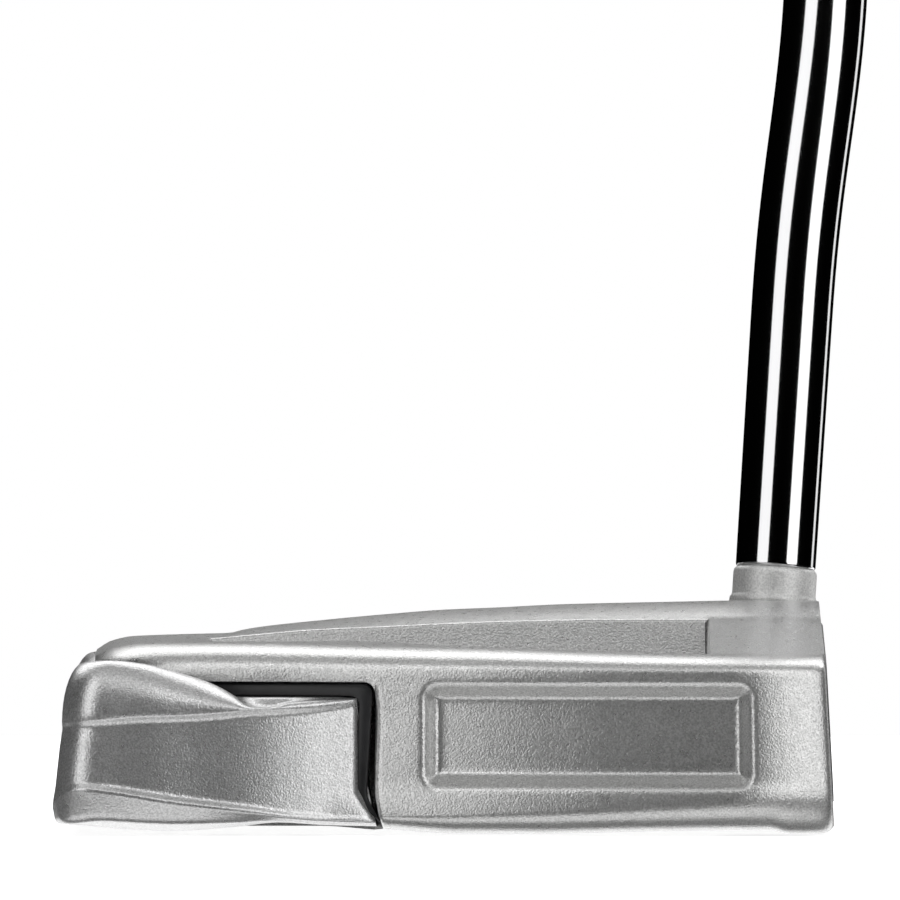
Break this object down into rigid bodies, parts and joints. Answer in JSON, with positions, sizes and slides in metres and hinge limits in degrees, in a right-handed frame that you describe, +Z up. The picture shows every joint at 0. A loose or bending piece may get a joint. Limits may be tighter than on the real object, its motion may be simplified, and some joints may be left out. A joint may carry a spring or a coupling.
{
  "type": "mallet putter",
  "caption": "Mallet golf putter with a damped steel rear frame, screw-in sole weights, a double-bend shaft and a pistol grip.",
  "frame": {"origin": "on the ground, at the centre of the flat of the sole", "axes": "+X along the putting line out of the face, +Y from toe to heel, +Z up along the club's length"},
  "size_m": [0.1044, 0.3531, 0.8153],
  "materials": {
    "satin_silver": "bead blasted satin",
    "satin_steel": "bead blasted satin",
    "black_polyurethane": "semi gloss",
    "face_elastomer": "grooved matte",
    "adhesive": "matte",
    "screw_steel": "dark satin",
    "nylon_seal": "matte",
    "sight_line_paint": "satin",
    "gloss_black_shaft": "high gloss",
    "band_film": "plain silver film",
    "grip_rubber": "matte textured"
  },
  "bodies": {
    "club": {"head_body": "satin_silver", "rear_weight_frame": "satin_steel", "damping_gasket_toe": "black_polyurethane", "damping_gasket_heel": "black_polyurethane", "face_insert": "face_elastomer", "insert_tape": "adhesive", "frame_screw_1": "screw_steel", "frame_screw_2": "screw_steel", "frame_screw_3": "screw_steel", "frame_screw_4": "screw_steel", "sight_line": "sight_line_paint", "shaft": "gloss_black_shaft", "shaft_epoxy": "adhesive", "shaft_band": "band_film", "grip_tape": "adhesive", "grip": "grip_rubber", "grip_end_cap": "grip_rubber"},
    "toe_seal": {"weight_seal_toe": "nylon_seal"},
    "toe_weight": {"sole_weight_toe": "screw_steel"},
    "heel_seal": {"weight_seal_heel": "nylon_seal"},
    "heel_weight": {"sole_weight_heel": "screw_steel"}
  },
  "joints": [
    {"name": "toe_weight_travel", "type": "slide", "parent": "club", "child": "toe_seal", "axis": [0, 0, -1], "range_m": [0, 0.005]},
    {"name": "toe_weight_turn", "type": "hinge", "parent": "toe_seal", "child": "toe_weight", "pos_m": [0.0306, -0.041, 0.0012], "axis": [0, 0, -1], "range_deg": [0, 1801]},
    {"name": "heel_weight_travel", "type": "slide", "parent": "club", "child": "heel_seal", "axis": [0, 0, -1], "range_m": [0, 0.005]},
    {"name": "heel_weight_turn", "type": "hinge", "parent": "heel_seal", "child": "heel_weight", "pos_m": [0.0306, 0.041, 0.0012], "axis": [0, 0, -1], "range_deg": [0, 1801]}
  ],
  "couplings": [
    {"joint": "toe_weight_turn", "follows": "toe_weight_travel", "rad_per_m": 6283.2},
    {"joint": "heel_weight_turn", "follows": "heel_weight_travel", "rad_per_m": 6283.2}
  ]
}
